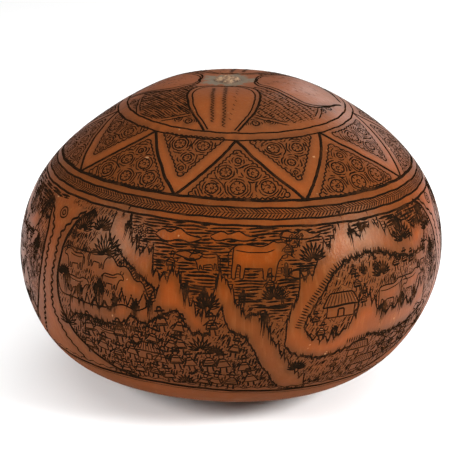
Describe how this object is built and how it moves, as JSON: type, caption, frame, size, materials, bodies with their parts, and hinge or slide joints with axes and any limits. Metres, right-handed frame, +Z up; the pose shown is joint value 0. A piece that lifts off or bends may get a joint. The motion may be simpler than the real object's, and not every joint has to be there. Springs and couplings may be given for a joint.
{
  "type": "dried bottle gourd",
  "caption": "Broad, squat dried bottle gourd with a corky stem scar on top, engraved all round above a plain underside, standing on a small sanded flat.",
  "frame": {"origin": "middle of the sanded flat under the gourd, which is the bottom centre of its box", "axes": "+Z up through the stem scar, -Y towards the front of the engraved scene, +X to the right seen from the front"},
  "size_m": [0.1894, 0.1908, 0.1341],
  "materials": {
    "gourd_skin": "smooth dried gourd skin, red-brown, rubbed to a low waxy shine, with burnt black engraved lines"
  },
  "bodies": {
    "root": {"gourd": "gourd_skin"}
  },
  "joints": []
}
